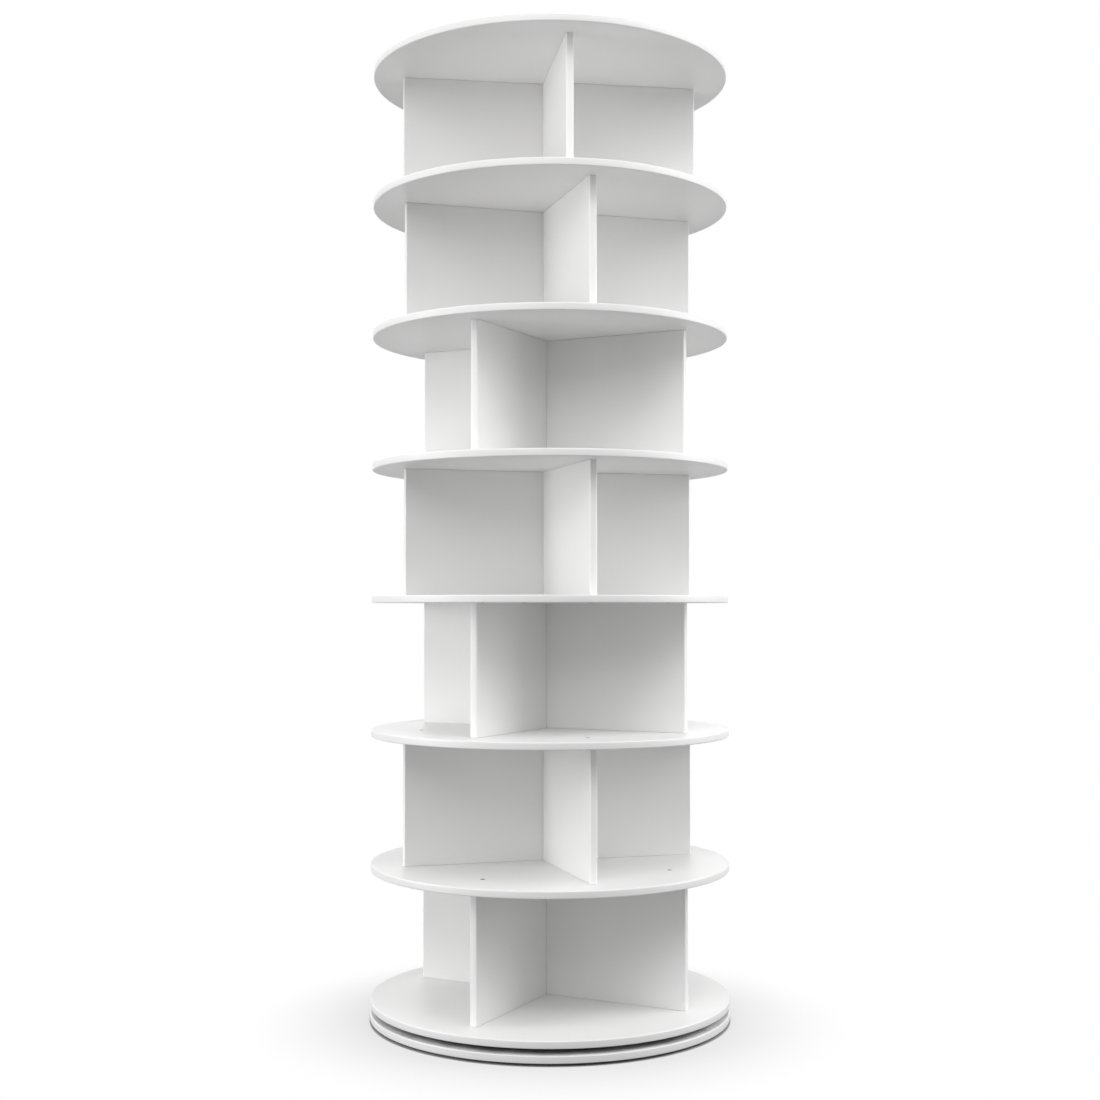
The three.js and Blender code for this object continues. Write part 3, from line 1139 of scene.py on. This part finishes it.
floor = {
    "reach": 9.0,
    "facets": 64,
    "drop": 0.1 * mm,
    "roughness": 0.9,
    "color": (0.84, 0.84, 0.84),
    # painted shadow: the floor's colour where it lies under the base
    "underBase": (0.42, 0.42, 0.42),
    "bounceColor": (0.20, 0.20, 0.20),  # what the boards get back from it
    "baseEnd": (0.300, 0.302),  # distances from the axis where the floor comes out from under the base
    "shadeEnd": 0.50,  # distance from the shade's middle where the floor is plain white
    "shadeShift": (0.0, 0.02, 0.0),  # from the shade's middle to the axis
    "shadeTone": 0.80,  # tone of the drawn shade beside the base
    "shadeCurve": 1.8,
    "ownShare": 0.30,  # share of the floor's own shading beside the base
}


# 1 where the camera sees it, or where metal mirrors it
def seenDirectly(tree):
    path = tree.nodes.new("ShaderNodeLightPath").outputs
    mirrored = calculate(tree, "MAXIMUM", path["Is Glossy Ray"], path["Is Transmission Ray"])
    return calculate(tree, "MAXIMUM", path["Is Camera Ray"], mirrored)


# The background's white, with a soft shade drawn beside the base
def floorWhite(tree, near):
    tone = newNode(tree, "ShaderNodeMapRange", {
        "Value": calculate(tree, "POWER", near, floor["shadeCurve"]),
        "To Min": 1.0,
        "To Max": floor["shadeTone"],
    }).outputs[0]
    return newNode(tree, "ShaderNodeEmission", {"Color": (1, 1, 1, 1), "Strength": tone}).outputs[0]


# Near the base the floor keeps part of its own shadow, mixed with a painted shade, and under the base it
# has a painted shadow; further out it is as white as the background
def floorFinish():
    material, tree, shader, place = newMaterial("paleFloor", Roughness=floor["roughness"])
    seen = seenDirectly(tree)
    clear = byDistance(tree, place, *floor["baseEnd"])
    own = mixColors(tree, clear, floor["underBase"], floor["color"])
    blendColors(tree, shader, seen, floor["bounceColor"], own)
    shifted = calculateVector(tree, "ADD", place, floor["shadeShift"])[0]
    near = byDistance(tree, shifted, floor["shadeEnd"], floor["baseEnd"][0])
    share = newNode(tree, "ShaderNodeMapRange", {
        "Value": near,
        "To Min": 1.0,
        "To Max": 1 - floor["ownShare"],
    }).outputs[0]
    factor = calculate(tree, "MULTIPLY", calculate(tree, "MULTIPLY", share, clear), seen)
    white = floorWhite(tree, near)
    mixed = newNode(tree, "ShaderNodeMixShader", {0: factor, 1: shader.outputs[0], 2: white})
    output = [node for node in tree.nodes if node.type == "OUTPUT_MATERIAL"][0]
    tree.links.new(mixed.outputs[0], output.inputs["Surface"])
    return material


def layFloor():
    mesh = bmesh.new()
    rim = addRing(mesh, floor["reach"], -floor["drop"], circleAngles(floor["facets"]))
    mesh.faces.new(rim)
    piece = newObject("pale_floor", mesh, (floorFinish(),))


ambient = 0.41  # the white room's own light

# Azimuth 0 is the camera's side, positive azimuths are to its right, and aim is the height pointed at
lamps = {
    "left": {"azimuth": -80, "reach": 3.57, "height": 1.30, "aim": 0.8, "size": 1.8, "power": 32.0},
    "lowLeft": {"azimuth": -70, "reach": 2.20, "height": 0.52, "aim": 0.5, "size": 1.0, "power": 9.8},
    "right": {"azimuth": 95, "reach": 2.20, "height": 1.00, "aim": 1.0, "size": 1.2, "power": 18.5},
    "front": {"azimuth": -20, "reach": 3.12, "height": 2.60, "aim": 0.8, "size": 1.8, "power": 33.0},
    "frontRight": {"azimuth": 50, "reach": 3.12, "height": 2.60, "aim": 0.8, "size": 1.8, "power": 10.0},
    "sideRight": {"azimuth": 80, "reach": 3.12, "height": 2.60, "aim": 0.8, "size": 1.8, "power": 25.0},
    "high": {"azimuth": 20, "reach": 2.22, "height": 3.64, "aim": 0.8, "size": 1.8, "power": 38.0},
    "highBack": {"azimuth": -110, "reach": 2.22, "height": 3.64, "aim": 0.8, "size": 1.8, "power": 19.0},
    "behind": {"azimuth": 180, "reach": 3.30, "height": 1.80, "aim": 0.8, "size": 1.8, "power": 10.5},
}


def addLamp(name, lamp):
    around = math.radians(lamp["azimuth"])
    light = bpy.data.lights.new(name, "AREA")
    light.shape = "SQUARE"
    light.size = lamp["size"]
    light.energy = lamp["power"]
    holder = bpy.data.objects.new(name, light)
    holder.location = (lamp["reach"] * math.sin(around), -lamp["reach"] * math.cos(around), lamp["height"])
    toAim = Vector((0, 0, lamp["aim"])) - holder.location
    holder.rotation_euler = toAim.to_track_quat("-Z", "Y").to_euler()
    holder.visible_camera = False
    bpy.context.scene.collection.objects.link(holder)


def lightTheRoom():
    world = bpy.data.worlds.new("studio")
    bpy.context.scene.world = world
    world.use_nodes = True
    tree = world.node_tree
    tree.nodes.clear()
    strength = newNode(tree, "ShaderNodeMapRange", {
        "Value": seenDirectly(tree),
        "To Min": ambient,
        "To Max": 1.0,
    })
    sky = newNode(tree, "ShaderNodeBackground", {"Color": (1, 1, 1, 1), "Strength": strength.outputs[0]})
    output = tree.nodes.new("ShaderNodeOutputWorld")
    tree.links.new(sky.outputs[0], output.inputs["Surface"])
    for name, lamp in lamps.items():
        addLamp(name, lamp)


viewpoint = {
    "location": (0.0, -2.7045, 0.686),
    "pitch": 2.03,  # degrees above level
    "lens": 52.23,
    "sensor": 36.0,
}


def aimCamera():
    camera = bpy.data.cameras.new("camera")
    camera.lens = viewpoint["lens"]
    camera.sensor_width = viewpoint["sensor"]
    holder = bpy.data.objects.new("camera", camera)
    holder.location = viewpoint["location"]
    holder.rotation_euler = (math.radians(90 + viewpoint["pitch"]), 0, 0)
    bpy.context.scene.collection.objects.link(holder)
    bpy.context.scene.camera = holder


layFloor()
lightTheRoom()
aimCamera()
bpy.context.scene.view_settings.view_transform = "Standard"
print("floor, lamps and camera ready")
